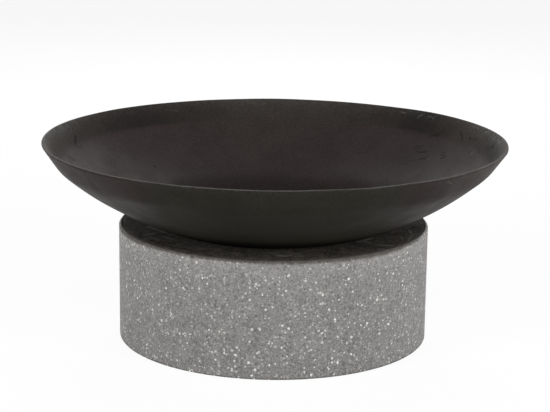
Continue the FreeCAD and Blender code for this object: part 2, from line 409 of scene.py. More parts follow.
def bowl_lines(bowl):
    """Guiding lines of the bowl's half section, as (across, up) with the underside at zero.

    The outer dish is a ball that passes through the edge of the flat and through the crease. The bend
    at the crease touches the ball and the band, and the bend of the flat touches the flat and the ball.
    """
    slope = bowl.band_slope
    along = np.array([math.cos(slope), math.sin(slope)])
    inwards = np.array([-math.sin(slope), math.cos(slope)])
    top = bowl.dish_depth + bowl.band_height
    outer = np.array([bowl.rim_radius, top - bowl.wall * inwards[1]])
    crease = np.array([outer[0] - (outer[1] - bowl.dish_depth) / math.tan(slope), bowl.dish_depth])
    ball = np.array([0.0, (crease @ crease - bowl.flat_radius ** 2) / (2 * bowl.dish_depth)])
    radius = math.hypot(bowl.flat_radius, ball[1])
    start = crease - ball + inwards * bowl.crease_radius
    reach = -(start @ along)
    reach -= math.sqrt((start @ along) ** 2 - start @ start + (radius - bowl.crease_radius) ** 2)
    rest_across = math.sqrt((radius - bowl.flat_bend) ** 2 - (ball[1] - bowl.flat_bend) ** 2)
    return SimpleNamespace(
        along=along, inwards=inwards, top=top, outer=outer, ball=ball, radius=radius,
        bend=ball + start + along * reach, rest=np.array([rest_across, bowl.flat_bend]),
    )


def bowl_side(bowl, lines, depth, end):
    """One skin of the bowl from the axis to its end below the lip, and the way each point faces.

    The skin lies a depth inside the outer one: every bend keeps its centre and loses that much radius.
    """
    low = math.atan2(lines.rest[1] - lines.ball[1], lines.rest[0])
    high = math.atan2(lines.bend[1] - lines.ball[1], lines.bend[0])
    band = math.atan2(-lines.inwards[1], -lines.inwards[0])
    stretches = (
        (lines.rest, bowl.flat_bend, -math.pi / 2, low, FLAT_BEND_STEPS),
        (lines.ball, lines.radius, low, high, DISH_STEPS),
        (lines.bend, bowl.crease_radius, high, band, CREASE_STEPS),
    )
    skin = [np.linspace((0.0, depth), (lines.rest[0], depth), FLAT_STEPS)]
    facing = [np.tile((0.0, -1.0), (FLAT_STEPS, 1))]
    for centre, size, first, last, steps in stretches:
        skin.append(arc(centre, size - depth, first, last, steps))
        facing.append(arc((0.0, 0.0), 1.0, first, last, steps))
    skin.append(held_run(skin[-1][-1], end, BAND_STEPS))
    facing.append(np.tile(-lines.inwards, (len(skin[-1]), 1)))
    return chained(skin), chained(facing)


def bowl_lip(bowl, lines):
    """The level lip, and how far each of its points faces up.

    It has a worn rounding at its outer corner, a level top and a small inner rounding. The corners lie
    where the two sides of the band meet the level top. A rounding of radius r at a corner of opening
    angle t starts r / tan(t / 2) before it.
    """
    slope, upright = bowl.band_slope, math.pi / 2
    sharp = lines.outer + lines.along * (lines.top - lines.outer[1]) / lines.along[1]
    blunt = lines.outer + lines.inwards * bowl.wall
    out, small = bowl.lip_rounding, bowl.lip_inner_rounding
    out_centre = (sharp[0] - out / math.tan(slope / 2), lines.top - out)
    small_centre = (blunt[0] + small * math.tan(slope / 2), lines.top - small)
    turns = (
        (out_centre, out, slope - upright, upright, LIP_OUTER_STEPS),
        (small_centre, small, upright, upright + slope, LIP_INNER_STEPS),
    )
    upwards = np.concatenate([np.sin(np.linspace(*turn[2:])) for turn in turns])
    return np.concatenate([arc(*turn) for turn in turns]), upwards


def bowl_grid(bowl):
    """The bowl as a grid of points, with how far each row belongs to the lip, the inside and the band.

    Rows run from the axis under the bowl out to the lip, over it and back inside to the axis. The sheet
    is then moved a little: square to the dish by its fullness, a squared sine from the flat to 30 mm
    past the middle of the crease's bend, and by soft ripples that set in at 0.3 of the radius. The rim
    is moved by ragged curves and dents that grow with a high power of the radius.
    """
    lines = bowl_lines(bowl)
    lip, lip_upwards = bowl_lip(bowl, lines)
    outer, outer_facing = bowl_side(bowl, lines, 0.0, lip[0])
    inner, inner_facing = bowl_side(bowl, lines, bowl.wall, lip[-1])
    path = np.concatenate([outer[:-1], lip, inner[:-1][::-1]])
    lip_facing = np.tile(-lines.inwards, (len(lip), 1))
    facing = np.concatenate([outer_facing[:-1], lip_facing, inner_facing[:-1][::-1]])
    marks = {name: np.zeros(len(path)) for name in ("lip", "inside")}
    on_lip = slice(len(outer) - 1, len(outer) - 1 + len(lip))
    # How far the lip faces up: where its metal is worn and where a painted highlight lies
    marks["lip"][on_lip] = np.clip(lip_upwards * 2 - 0.9, 0.0, 1.0)
    marks["inside"][on_lip.stop - LIP_INNER_STEPS:] = 1.0
    marks["band"] = np.clip((path[:, 1] - bowl.dish_depth) / bowl.band_height, 0.0, 1.0)

    angle = angles_round(bowl.columns)
    share = (path[:, 0] / bowl.rim_radius)[:, None]
    swell_end = lines.bend[0] + 0.03
    swell = np.clip((path[:, 0] - bowl.flat_radius) / (swell_end - bowl.flat_radius), 0.0, 1.0)
    swell = bowl.fullness * np.sin(np.pi * swell)[:, None] ** 2
    points = turned(path, bowl.columns)
    push = swell + bowl.waviness * ripples(points, bowl.seed, 0.09) * np.clip(share * 2 - 0.6, 0.0, 1.0)
    out = bowl.rim_waviness * ragged(angle, bowl.seed + 1, 2, 9) * share ** 6
    up = bowl.rim_waviness * ragged(angle, bowl.seed + 2, 2, 12) * share ** 6
    for centre, width, outwards, upwards in RIM_DENTS:
        dent = hump_round(angle, centre, width) * share ** 16
        out = out + outwards * dent
        up = up + upwards * dent
    radial = np.stack([np.cos(angle), np.sin(angle), 0 * angle], axis=-1)
    points += radial[None] * (out + push * facing[:, :1])[..., None]
    points[..., 2] += up + push * facing[:, 1:] + BOWL_LOW.z
    return points, marks


def make_bowl_mesh(bowl):
    """Closed bowl, marked for its material: lip, inside, band, dust and painted sheen near the rim, and
    blackest places.

    Dust and painted sheen set in a third of the way up the band, and less of them lies outside than
    inside.
    """
    points, marks = bowl_grid(bowl)
    piece = capped_object("fire_bowl_iron", points)
    angle = angles_round(bowl.columns)
    marks = {name: values[:, None] + 0 * angle for name, values in marks.items()}
    near_rim = np.clip((marks["band"] - 0.35) / 0.65, 0.0, 1.0) ** 2.2
    near_rim *= np.clip(marks["inside"] + marks["lip"] + 0.30, 0.0, 1.0)
    # Dust near the rim; its heavy places at the two ends of the band also stand for painted sheen
    marks["dust_and_sheen"] = (DUST_EVERYWHERE + humps_round(angle, DUST_AND_SHEEN_PLACES)) * near_rim
    marks["blackest"] = humps_round(angle, BLACKEST) * marks["inside"]
    for name, values in marks.items():
        paint(piece, name, np.concatenate([values[1:-1].reshape(-1), [values[0, 0], values[-1, 0]]]))
    return piece


# Ring and drum

# Where the coat reaches further over the border, or less far: degrees, width in degrees, share
COATED = (
    (199.0, 15.0, 0.45), (290.0, 16.0, 0.20), (314.0, 11.0, 0.30), (355.0, 16.0, -0.85),
    (181.0, 8.0, -0.70), (120.0, 14.0, 0.30),
)


def ring_grid(ring):
    """The flat ring: a closed section turned about the axis, the last 4 mm of it slightly ragged."""
    low, high = RING_LOW.z, RING_HIGH.z
    small = ring.edge_rounding
    seat_outer = ring.opening_radius + ring.seat_width
    path = rounded_loop([
        (ring.opening_radius, low, small, 2, 1),
        (ring.outer_radius, low, small, 2, 2),
        (ring.outer_radius, high, small, 3, 8),
        (seat_outer, high, small, 2, 1),
        (ring.opening_radius, high - ring.seat_drop, small, 2, 1),
    ])
    points = turned(path, ring.columns)
    angle = angles_round(ring.columns)
    outer = np.clip((path[:, 0] - ring.outer_radius + 0.004) / 0.004, 0.0, 1.0)[:, None]
    nibble = ring.nibble * (ragged(angle, ring.seed, 20, 300, 0.6) - 1.5)
    points[..., :2] *= (1 + np.minimum(nibble, 0.0) * outer / ring.outer_radius)[..., None]
    return points


def base_grid(base):
    """The hollow drum: a closed section turned about the axis, its top edge worn and pitted.

    The wear falls off as a bell curve of the distance from the top edge, which is 2.5 mm wide.
    """
    top = base.height
    recess = base.radius - base.border_width
    recess_floor = top - base.ring_thickness
    ceiling = recess_floor - base.flange_thickness
    hollow = base.radius - base.shell_wall
    hollow_top = hollow - ceiling * math.tan(base.mould_draft)
    small, recess_small = base.inner_rounding, base.recess_rounding
    path = rounded_loop([
        (hollow, 0.0, small, 3, 2),
        (base.radius, 0.0, base.foot_rounding, 4, 6),
        (base.radius, top - base.border_bevel, base.bevel_rounding, 4, 2),
        (base.radius - base.border_bevel, top, base.bevel_rounding, 4, 2),
        (recess, top, recess_small, 3, 3),
        (recess, recess_floor, recess_small, 2, 3),
        (base.flange_opening, recess_floor, small, 3, 2),
        (base.flange_opening, ceiling, small, 3, 4),
        (hollow_top, ceiling, base.corner_rounding, 6, 4),
    ])
    points = turned(path, base.columns)
    angle = angles_round(base.columns)
    away = np.hypot(path[:, 0] - base.radius, path[:, 1] - top)
    near_edge = np.exp(-(away / 0.0025) ** 2)[:, None]
    wear = base.edge_wear * np.maximum(ragged(angle, base.seed, 30, 500, 0.5) - 0.3, 0.0) * near_edge
    points[..., :2] *= (1 - wear / base.radius)[..., None]
    points[..., 2] -= 0.7 * wear
    return points, path


def make_drum_mesh(base):
    """Hollow drum, marked with the share of coat on its border and how far down that coat reaches.

    The coat thins from the ring outwards over the border, and both numbers grow where it was laid on
    further.
    """
    points, path = base_grid(base)
    piece = loop_object("base_drum_speckled", points)
    outwards = ((path[:, 0] - base.radius + base.border_width) / base.border_width)[:, None]
    further = humps_round(angles_round(base.columns), COATED)
    paint(piece, "coat_share", np.clip(1.02 - 0.27 * outwards + 0.6 * further, 0.0, 1.0))
    paint(piece, "coat_reach", base.coat_reach * np.maximum(1 + further, 0.3) + 0 * outwards)
    return piece


# Materials

def empty_tree(owner, kind):
    """Node tree of a material or world, emptied, and a new output node in it."""
    owner.use_nodes = True
    tree = owner.node_tree
    tree.nodes.clear()
    return tree, put(tree, kind)


def new_material(name):
    """Material, its node tree and its main shader."""
    material = bpy.data.materials.new(name)
    tree, output = empty_tree(material, "OutputMaterial")
    shader = put(tree, "BsdfPrincipled")
    fill(output, Surface=shader.outputs["BSDF"])
    return material, tree, shader


def feed(socket, value):
    """Link another node's output to an input socket, or set the socket to a plain value."""
    if isinstance(value, bpy.types.NodeSocket):
        socket.id_data.links.new(value, socket)
    else:
        socket.default_value = value


def fill(node, **sockets):
    """Feed a node's input sockets by name, with _ for a space."""
    for name, value in sockets.items():
        feed(node.inputs[name.replace("_", " ")], value)
    return node


def put(owner, kind, **sockets):
    """Add a shader node of a kind to a tree, or to the tree of a socket, and feed its sockets."""
    return fill(owner.id_data.nodes.new("ShaderNode" + kind), **sockets)


def place(tree):
    """Object coordinates in metres."""
    return put(tree, "TexCoord").outputs["Object"]


def attribute(tree, name):
    """A number painted on the piece."""
    node = put(tree, "Attribute")
    node.attribute_name = name
    return node.outputs["Fac"]


def arithmetic(kind, operation, values):
    """Arithmetic node on values, of which at least one is linked, in the tree of that one."""
    linked = next(value for value in values if isinstance(value, bpy.types.NodeSocket))
    node = put(linked, kind)
    node.operation = operation
    for socket, value in zip(node.inputs, values):
        feed(socket, value)
    return node


def reckon(operation, *values):
    """Arithmetic on numbers, plain or linked."""
    return arithmetic("Math", operation, values).outputs["Value"]


def vector_math(operation, *vectors):
    """Arithmetic on vectors, plain or linked; the value of a length or dot product, else the vector."""
    node = arithmetic("VectorMath", operation, vectors)
    return node.outputs["Value" if operation in ("LENGTH", "DOT_PRODUCT") else "Vector"]


def scaled(vector, share):
    """A vector or colour, plain or linked, times a linked number."""
    node = put(share, "VectorMath")
    node.operation = "SCALE"
    return fill(node, Vector=vector, Scale=share).outputs["Vector"]


def times(first, second):
    """One number times another."""
    return reckon("MULTIPLY", first, second)


def line(value, slope, start):
    """The value times the slope, plus the start."""
    return reckon("MULTIPLY_ADD", value, slope, start)


def total(*values):
    """Sum of numbers."""
    so_far, *others = values
    for value in others:
        so_far = reckon("ADD", so_far, value)
    return so_far


def axes(vector):
    """X, Y and Z of a vector, by name."""
    return put(vector, "SeparateXYZ", Vector=vector).outputs


def from_axis(where):
    """Distance from the axis."""
    return vector_math("LENGTH", vector_math("MULTIPLY", where, (1.0, 1.0, 0.0)))


def between(value, low, high, smooth=True):
    """Share from zero to one as the value goes from low to high."""
    node = put(value, "MapRange", Value=value, From_Min=low, From_Max=high)
    if smooth:
        node.interpolation_type = "SMOOTHSTEP"
    return node.outputs["Result"]


def blend(share, first, second):
    """Mix two colours, plain or linked, by a linked share."""
    node = put(share, "Mix")
    node.data_type = "RGBA"
    feed(node.inputs[0], share)
    for socket, value in ((node.inputs[6], first), (node.inputs[7], second)):
        feed(socket, value if isinstance(value, bpy.types.NodeSocket) else (*value, 1.0))
    return node.outputs[2]


def noise(where, scale, detail=3.0, rough=0.5, output="Fac"):
    """Smooth noise from zero to one, with so many waves in a metre."""
    node = put(where, "TexNoise", Vector=where, Scale=scale, Detail=detail, Roughness=rough)
    return node.outputs[output]


def swing(where, scale, reach, detail=2.0, rough=0.5):
    """Noise about zero, from minus to plus the reach at its rare extremes."""
    return line(noise(where, scale, detail, rough), 2 * reach, -reach)


def clouds(where, layers, middle):
    """Uneven tone about a middle: a sum of swings, each (waves in a metre, reach, detail, roughness)."""
    return total(*(swing(where, *layer) for layer in layers), middle)


def bump(height, distance, strength):
    """Bump whose full height is the distance in metres."""
    node = put(height, "Bump", Height=height, Distance=distance, Strength=strength)
    return node.outputs["Normal"]


def chips(where, scale, keep, size, seed):
    """Scattered chips: cells of a Voronoi pattern, of which a share is kept, each a small uneven blob.

    There are so many cells in a metre, and noise bends them over 0.45 of a cell. A chip's reach is 0.6
    to 1.2 of the size, in cells. Returns the share of chip and each chip's own number from zero to one.
    """
    bend = 0.45 / scale
    shift = (seed - bend / 2, seed * 0.7 - bend / 2, seed * 1.3 - bend / 2)
    wobble = noise(where, scale * 2.2, 1.0, output="Color")
    bent = vector_math("ADD", where, vector_math("MULTIPLY_ADD", wobble, (bend,) * 3, shift))
    cells = put(where, "TexVoronoi", Vector=bent, Scale=scale)
    chance = put(where, "SeparateColor", Color=cells.outputs["Color"])
    kept = between(chance.outputs["Red"], 1 - keep, 1 - keep + 0.02, smooth=False)
    reach = line(chance.outputs["Green"], size * 0.6, size * 0.6)
    blob = between(reckon("SUBTRACT", reach, cells.outputs["Distance"]), 0.0, 0.08)
    return times(blob, kept), chance.outputs["Blue"]


def stroke(where, start, way, width):
    """One on the straight stroke from its start along its way, falling to zero at the width from it.

    A point's share along the stroke is the dot product of the point's way from the start with the
    stroke's, over the stroke's length squared, held between zero and one.
    """
    from_start = vector_math("SUBTRACT", where, start)
    along = vector_math("DOT_PRODUCT", from_start, way / max(way @ way, 1e-12))
    along = reckon("MINIMUM", reckon("MAXIMUM", along, 0.0), 1.0)
    away = vector_math("LENGTH", vector_math("SUBTRACT", from_start, scaled(way, along)))
    return between(away, width, 0.35 * width)


def strokes(tree, marks, waver_by=0.0010):
    """Strength of a table of strokes, as below, with wavering, broken lines."""
    where = place(tree)
    waver = noise(where, 160.0, 2.0, output="Color")
    waver = vector_math("MULTIPLY_ADD", waver, (2 * waver_by,) * 3, (-waver_by,) * 3)
    bent = vector_math("ADD", where, waver)
    greatest = 0.0
    for *sizes, strength in marks:
        sizes = np.array(sizes) * MILLIMETRE
        share = times(stroke(bent, sizes[:3], sizes[3:6], sizes[6]), strength)
        greatest = reckon("MAXIMUM", greatest, share)
    broken = between(noise(where, 420.0, 2.0, 0.6), 0.30, 0.56)
    return times(greatest, line(broken, 0.5, 0.5))


# Scuffs on the bowl and the ring, in millimetres: start (x, y, z), way from there to the end (x, y, z)
# and half width, then strength
MILLIMETRE = 0.001
BOWL_SOOT = (
    (-266.3, 90.0, 238.4, 1.5, -13.6, -7.4, 3.9, 0.98),
    (-264.5, 75.8, 230.4, 3.1, -0.6, -3.2, 3.3, 0.75),
    (-261.4, 75.2, 227.2, 1.8, 1.4, -1.2, 3.3, 0.63),
    (-257.9, 85.4, 226.9, 0.9, -1.7, -1.1, 3.2, 0.63),
    (-266.6, 23.3, 223.9, 1.2, 2.5, -0.8, 5.8, 1.00),
    (-264.3, 25.2, 222.2, 2.2, 0.7, -1.7, 5.4, 1.00),
    (-264.8, 13.8, 221.7, 0.6, -2.0, -0.6, 5.2, 1.00),
    (-164.5, 142.0, 188.1, 0.5, -1.0, -0.7, 2.6, 1.00),
    (195.3, 167.8, 215.7, 7.6, -8.3, 0.4, 1.9, 0.52),
    (193.0, 163.4, 212.1, 9.1, -6.8, 2.0, 2.0, 0.52),
    (195.2, 155.5, 209.5, 7.0, -6.9, 1.0, 2.0, 0.57),
    (202.2, 148.6, 210.5, 5.9, -4.5, 1.6, 2.7, 0.92),
    (185.1, 145.3, 199.5, 7.7, -6.1, 1.6, 2.3, 0.63),
    (192.8, 139.2, 201.1, 7.2, -4.2, 2.4, 1.8, 0.52),
    (200.0, 135.5, 203.7, 6.6, -5.8, 1.7, 2.3, 1.00),
    (208.2, 133.1, 207.7, 1.7, -2.2, 0.2, 1.8, 0.57),
    (176.2, 143.9, 194.3, 7.9, -3.6, 2.6, 2.3, 0.40),
    (225.7, 117.7, 213.6, 4.0, -6.2, 0.9, 2.1, 0.85),
    (229.7, 111.5, 214.5, 0.1, -5.0, -1.5, 2.1, 0.75),
    (229.8, 106.5, 213.0, -4.4, 1.4, -2.5, 2.7, 1.00),
    (227.6, 122.0, 216.4, 3.7, -6.4, 0.5, 1.9, 0.52),
    (215.0, 169.3, 229.5, 10.6, -9.2, 3.1, 3.1, 0.69),
    (223.7, 163.3, 233.0, 0.5, -3.6, -2.1, 3.0, 0.63),
    (229.5, 158.7, 235.7, 5.5, -4.4, 2.9, 2.3, 0.40),
    (253.0, 129.6, 243.0, 1.3, -15.5, -7.3, 2.5, 0.63),
    (262.8, 102.6, 240.6, 0.5, -3.9, -1.1, 3.0, 0.92),
    (264.7, 94.9, 239.5, 6.0, -10.8, 3.1, 2.4, 0.46),
    (254.5, 89.1, 226.3, 2.2, -4.2, 0.7, 2.4, 0.57),
    (259.8, 76.3, 227.2, 0.0, -3.6, -0.9, 2.1, 0.69),
    (269.4, 66.8, 234.0, 0.1, -2.8, -0.8, 2.5, 0.63),
    (269.6, 56.5, 231.2, 0.8, -2.3, 0.2, 2.5, 0.57),
    (278.2, 44.2, 238.4, 5.3, -14.2, 4.1, 2.9, 0.57),
    (284.4, 31.9, 243.9, 0.6, -5.8, -0.1, 3.0, 0.98),
    (283.1, -22.0, 241.3, 0.2, -8.2, 1.4, 2.5, 0.57),
    (180.3, 224.6, 248.0, 1.0, -1.7, -0.9, 2.0, 0.69),
    (215.6, 191.2, 249.5, 0.4, -1.2, -0.6, 1.8, 0.69),
)
BOWL_SCRATCHES = (
    (179.4, 228.8, 251.7, 2.3, -3.0, -1.1, 1.5, 0.60),
    (181.7, 225.8, 250.6, 3.5, -2.2, 0.8, 1.3, 0.40),
    (200.3, 204.7, 246.5, 0.6, 1.2, 1.8, 1.3, 0.35),
    (200.9, 205.9, 248.3, 2.7, -0.4, 2.4, 1.3, 0.55),
    (203.6, 205.5, 250.7, 3.7, -2.1, 1.8, 1.3, 0.50),
    (214.6, 194.1, 251.2, 2.9, -2.4, 0.8, 1.3, 0.50),
    (219.5, 189.0, 251.7, 1.1, -3.1, -1.7, 1.4, 0.35),
    (-157.0, 242.3, 248.4, 19.4, 8.8, -3.6, 1.6, 0.14),
    (202.8, -216.2, 253.3, -0.3, 1.7, -2.2, 1.2, 0.26),
    (202.5, -214.5, 251.1, 5.7, 9.5, -3.9, 1.2, 0.26),
    (208.1, 127.9, 205.7, 1.2, -1.5, 0.2, 1.4, 0.30),
    (262.1, 68.6, 227.2, 0.3, -2.5, -0.4, 1.7, 0.40),
    (268.2, 113.0, 252.6, 2.7, -0.9, 3.0, 1.7, 0.75),
    (272.1, 107.1, 254.7, 1.3, -7.0, -1.7, 1.8, 0.55),
    (280.4, 79.4, 253.1, 3.1, -6.5, 1.6, 2.0, 0.75),
    (286.3, 46.0, 249.9, 1.3, -2.0, 1.2, 2.2, 0.80),
    (290.7, 33.4, 253.0, 0.4, -17.9, -1.6, 2.2, 0.65),
    (-270.4, 45.2, 229.9, 2.9, -3.1, -3.3, 3.1, 0.16),
)
RING_SCUFFS = (
    (-159.1, -37.4, 148.0, 10.5, -13.9, 0.0, 5.2, 0.55),
    (-148.6, -51.3, 148.0, 10.5, -14.7, 0.0, 4.8, 0.46),
    (-159.7, -81.0, 148.0, 7.6, 7.3, 0.0, 6.4, 0.50),
    (-153.4, -90.1, 148.0, 11.0, -14.2, 0.0, 5.6, 0.39),
    (-133.3, -91.6, 148.0, 6.7, -7.6, 0.0, 4.2, 0.33),
    (-117.7, -146.6, 148.0, 10.2, -8.8, 0.0, 4.2, 0.33),
    (6.7, -171.5, 148.0, 6.9, -1.5, 0.0, 4.4, 0.90),
    (13.6, -173.0, 148.0, 9.1, 5.0, 0.0, 3.2, 0.72),
    (105.1, -102.1, 148.0, 5.9, 6.1, 0.0, 3.4, 0.66),
    (111.0, -96.0, 148.0, 10.5, 10.3, 0.0, 3.4, 0.72),
    (114.0, -98.8, 148.0, 5.3, -4.6, 0.0, 3.4, 0.61),
    (119.0, -110.2, 148.0, 9.6, -4.3, 0.0, 3.4, 0.50),
    (133.5, -116.2, 148.0, 13.4, -2.3, 0.0, 3.8, 0.72),
    (128.7, -135.4, 148.0, 9.7, -2.4, -0.3, 3.8, 0.55),
    (173.6, -41.1, 148.0, 1.8, -20.2, 0.0, 2.2, 0.66),
    (175.4, -61.3, 148.0, -7.0, -33.0, 0.0, 2.2, 0.61),
    (160.5, -76.0, 148.0, 0.9, -18.6, 0.0, 2.0, 0.44),
    (189.2, 2.9, 148.0, 3.4, -6.7, 0.0, 2.3, 0.50),
    (149.0, -56.0, 148.0, 5.1, 9.9, 0.0, 3.0, 0.33),
)

# Uneven tones: waves in a metre, reach, detail, roughness
IRON_CLOUDS = ((7.0, 0.4, 3.0), (34.0, 0.25, 4.0, 0.6), (380.0, 0.5, 2.0, 0.6))
COAT_CLOUDS = ((18.0, 0.4, 3.0), (105.0, 1.3, 4.0, 0.65), (420.0, 0.9, 2.0, 0.6))
CEMENT_CLOUDS = ((16.0, 0.12, 3.0), (62.0, 0.13, 2.0), (230.0, 0.45, 2.0, 0.6), (520.0, 1.0, 2.0, 0.7))

# Chips in the cement: colour, cells in a metre, share kept, size, seed, how far their strength varies
CHIPS = (
    ("dark_chip", 310.0, 0.20, 0.44, 4.1, 0.70),
    ("pale_chip", 260.0, 0.30, 0.44, 1.7, 0.80),
    ("white_chip", 330.0, 0.10, 0.42, 5.3, 0.65),
    ("white_chip", 250.0, 0.10, 0.42, 7.9, 0.65),
    ("white_chip", 165.0, 0.06, 0.32, 9.3, 0.65),
)


def blackened_iron(bowl):
    """Matt heat-blackened iron: green-black outside with painted shade towards the foot, browner inside,
    dust near the lip with painted sheen at the band's two ends, scuffed, and a painted highlight on the
    lip.
    """
    material, tree, shader = new_material("blackened_iron")
    where = place(tree)
    inside, band, lip = (attribute(tree, name) for name in ("inside", "band", "lip"))
    across = axes(where)["X"]
    radius = from_axis(where)
    # Outside: browner at both sides, darker towards the foot with painted shade where the bowl sits on the
    # ring, lighter on the band and to the right
    outside = blend(between(reckon("ABSOLUTE", across), 0.12, 0.17), bowl.black, bowl.brown)
    rightwards = between(across, -0.15, 0.15)
    # Share of painted shade under the bowl, near where it sits on the ring
    foot = between(radius, 0.200, 0.154)
    shade = total(
        times(foot, line(rightwards, 0.25, -0.85)), times(between(band, 0.0, 0.3), 0.25),
        times(rightwards, 0.14), 0.89,
    )
    outside = scaled(outside, shade)
    # Inside: a brown dish, darker in its middle from soot and from painted shadow of the logs that lie in
    # it, under a band that is blackest in places
    wall = blend(attribute(tree, "blackest"), bowl.wall_skin, bowl.dull)
    dish = scaled(bowl.warm, line(between(radius, 0.23, 0.13), -0.16, 1.0))
    within = blend(between(band, 0.03, 0.18), dish, wall)
    ground = scaled(blend(inside, outside, within), clouds(where, IRON_CLOUDS, 1.0))
    # Dust with painted sheen at the band's two ends, soot and scratches, and the lip worn back to the
    # metal in places with a painted highlight on its up-facing part
    mottle = between(noise(where, 190.0, 4.0, 0.75), 0.36, 0.66)
    # Dust, which at the band's two ends is also painted sheen
    dust = times(attribute(tree, "dust_and_sheen"), line(mottle, 1.2, 0.4))
    ground = blend(reckon("MINIMUM", dust, 1.0), ground, bowl.ash)
    ground = blend(strokes(tree, BOWL_SOOT), ground, bowl.soot)
    ground = blend(strokes(tree, BOWL_SCRATCHES), ground, bowl.bare)
    lip_tint = between(noise(where, 38.0, 5.0, 0.7), 0.3, 0.7)
    lip_tint = total(times(lip_tint, 0.28), times(dust, 0.40), 0.02)
    # Worn metal and a painted highlight on the up-facing part of the lip
    worn = reckon("MINIMUM", times(lip, lip_tint), 1.0)
    rough = clouds(where, ((26.0, 0.20, 4.0, 0.6),), 0.50)
    height = total(noise(where, 620.0, 3.0, 0.6), times(dust, 0.5))
    fill(
        shader, Base_Color=blend(worn, ground, bowl.bare), Specular_IOR_Level=0.045,
        Roughness=total(rough, times(dust, 0.2), times(foot, 0.4)), Normal=bump(height, 0.00008, 0.5),
    )
    return material


def brush_marks(tree, rate, slow):
    """Noise drawn out round the axis: it changes fast with the radius and slowly along the ring."""
    where = place(tree)
    parts = axes(where)
    drawn = put(
        tree, "CombineXYZ", X=times(from_axis(where), rate),
        Y=times(parts["X"], slow), Z=times(parts["Y"], slow),
    )
    return noise(drawn.outputs["Vector"], 1.0, 3.0, 0.6)


def coat_colour(tree, ring):
    """Matt black coat: brush marks round the ring, a paler edge, fine grain and a few light scuffs."""
    where = place(tree)
    ground = scaled(ring.coat, reckon("MAXIMUM", clouds(where, COAT_CLOUDS, 0.94), 0.2))
    edge = between(from_axis(where), ring.outer_radius - 0.013, ring.outer_radius)
    paler = total(edge, between(brush_marks(tree, 230.0, 60.0), 0.48, 0.70))
    ground = blend(between(times(paler, 0.42), 0.0, 1.0), ground, ring.streak)
    dust, shade = chips(where, 300.0, 0.07, 0.42, 2.9)
    ground = blend(times(dust, shade), ground, ring.scuff)
    return blend(strokes(tree, RING_SCUFFS, 0.0016), ground, ring.scuff)


def black_coat(ring):
    """Black coat of the ring."""
    material, tree, shader = new_material("black_coated_cement")
    where = place(tree)
    height = total(noise(where, 380.0, 4.0, 0.65), brush_marks(tree, 620.0, 26.0))
    fill(
        shader, Base_Color=coat_colour(tree, ring), Specular_IOR_Level=0.02,
        Roughness=clouds(where, ((60.0, 0.2, 3.0),), 0.66), Normal=bump(height, 0.00016, 0.6),
    )
    return material


def speckled_cement(base, ring):
    """Smooth grey cement with white, pale and dark chips, coated along its top edge, with painted shade at
    its foot and painted light near its top.
    """
    material, tree, shader = new_material("speckled_cement")
    where = place(tree)
    height = axes(where)["Z"]
    # A little lighter towards the top, with painted light over its top 30 mm where the bowl's shadow
    # falls, and painted shade on the last millimetres above the floor
    tone = total(
        clouds(where, CEMENT_CLOUDS, 0.85),
        times(between(height, 0.0, base.height, smooth=False), 0.10),
        # Painted light over the top of the side, against the bowl's shadow
        times(between(height, base.height - 0.030, base.height - 0.005), 0.12),
        # Painted shade along the foot, where the drum meets the floor
        times(between(height, 0.0034, 0.0010), -0.34),
    )
    ground = scaled(base.cement, tone)
    for name, scale, keep, size, seed, varies in CHIPS:
        chip, shade = chips(where, scale, keep, size, seed)
        chip = times(chip, line(shade, varies, 1.0 - varies))
        ground = blend(chip, ground, getattr(base, name))
    # The coat falls off down the side with the square of the depth below the top over its reach
    down = reckon("DIVIDE", reckon("SUBTRACT", base.height, height), attribute(tree, "coat_reach"))
    left = reckon("MAXIMUM", reckon("SUBTRACT", 1.0, times(down, down)), 0.0)
    coated = total(times(attribute(tree, "coat_share"), left), swing(where, 260.0, 0.7, 3.0))
    ground = blend(between(coated, 0.15, 0.95), ground, coat_colour(tree, ring))
    fill(
        shader, Base_Color=ground, Specular_IOR_Level=0.3,
        Roughness=clouds(where, ((140.0, 0.25, 3.0),), 0.74),
        Normal=bump(noise(where, 520.0, 4.0, 0.65), 0.00016, 0.5),
    )
    return material


# Stage

# Softboxes: name, degrees round from the front towards +X, degrees up, and light on the object. A
# light of one makes a colour that faces the lamp render as it is written.
SOFTBOXES = (
    ("front_left", -50.0, 12.0, 0.473),
    ("front_right", 50.0, 12.0, 0.484),
    ("front", 0.0, 32.0, 0.10),
    ("left", -90.0, 12.0, 0.103),
    ("right", 90.0, 12.0, 0.168),
    ("back", 180.0, 32.0, 0.25),
)
SOFTBOX_SIZE = (1.2, 1.0)
FLOOR_SIDES = 96


def seen_directly(tree):
    """One for rays from the camera and for mirror and see-through rays, else zero."""
    path = put(tree, "LightPath").outputs
    glossy = reckon("MAXIMUM", path["Is Camera Ray"], path["Is Glossy Ray"])
    return reckon("MAXIMUM", glossy, path["Is Transmission Ray"])


def floor_material(stage):
    """White floor that still takes the object's shadow: part glow, part plain floor, when looked at."""
    material = bpy.data.materials.new("stage_floor")
    tree, output = empty_tree(material, "OutputMaterial")
    plain_floor = put(tree, "BsdfDiffuse", Color=(*stage.floor, 1.0))
    shadowed = put(tree, "BsdfDiffuse", Color=(*stage.floor_shadowed, 1.0))
    glow = put(tree, "Emission", Strength=stage.floor_glow)
    seen = put(tree, "AddShader")
    feed(seen.inputs[0], shadowed.outputs["BSDF"])
    feed(seen.inputs[1], glow.outputs["Emission"])
    pick = put(tree, "MixShader", Fac=seen_directly(tree))
    feed(pick.inputs[1], plain_floor.outputs["BSDF"])
    feed(pick.inputs[2], seen.outputs["Shader"])
    fill(output, Surface=pick.outputs["Shader"])
    return material


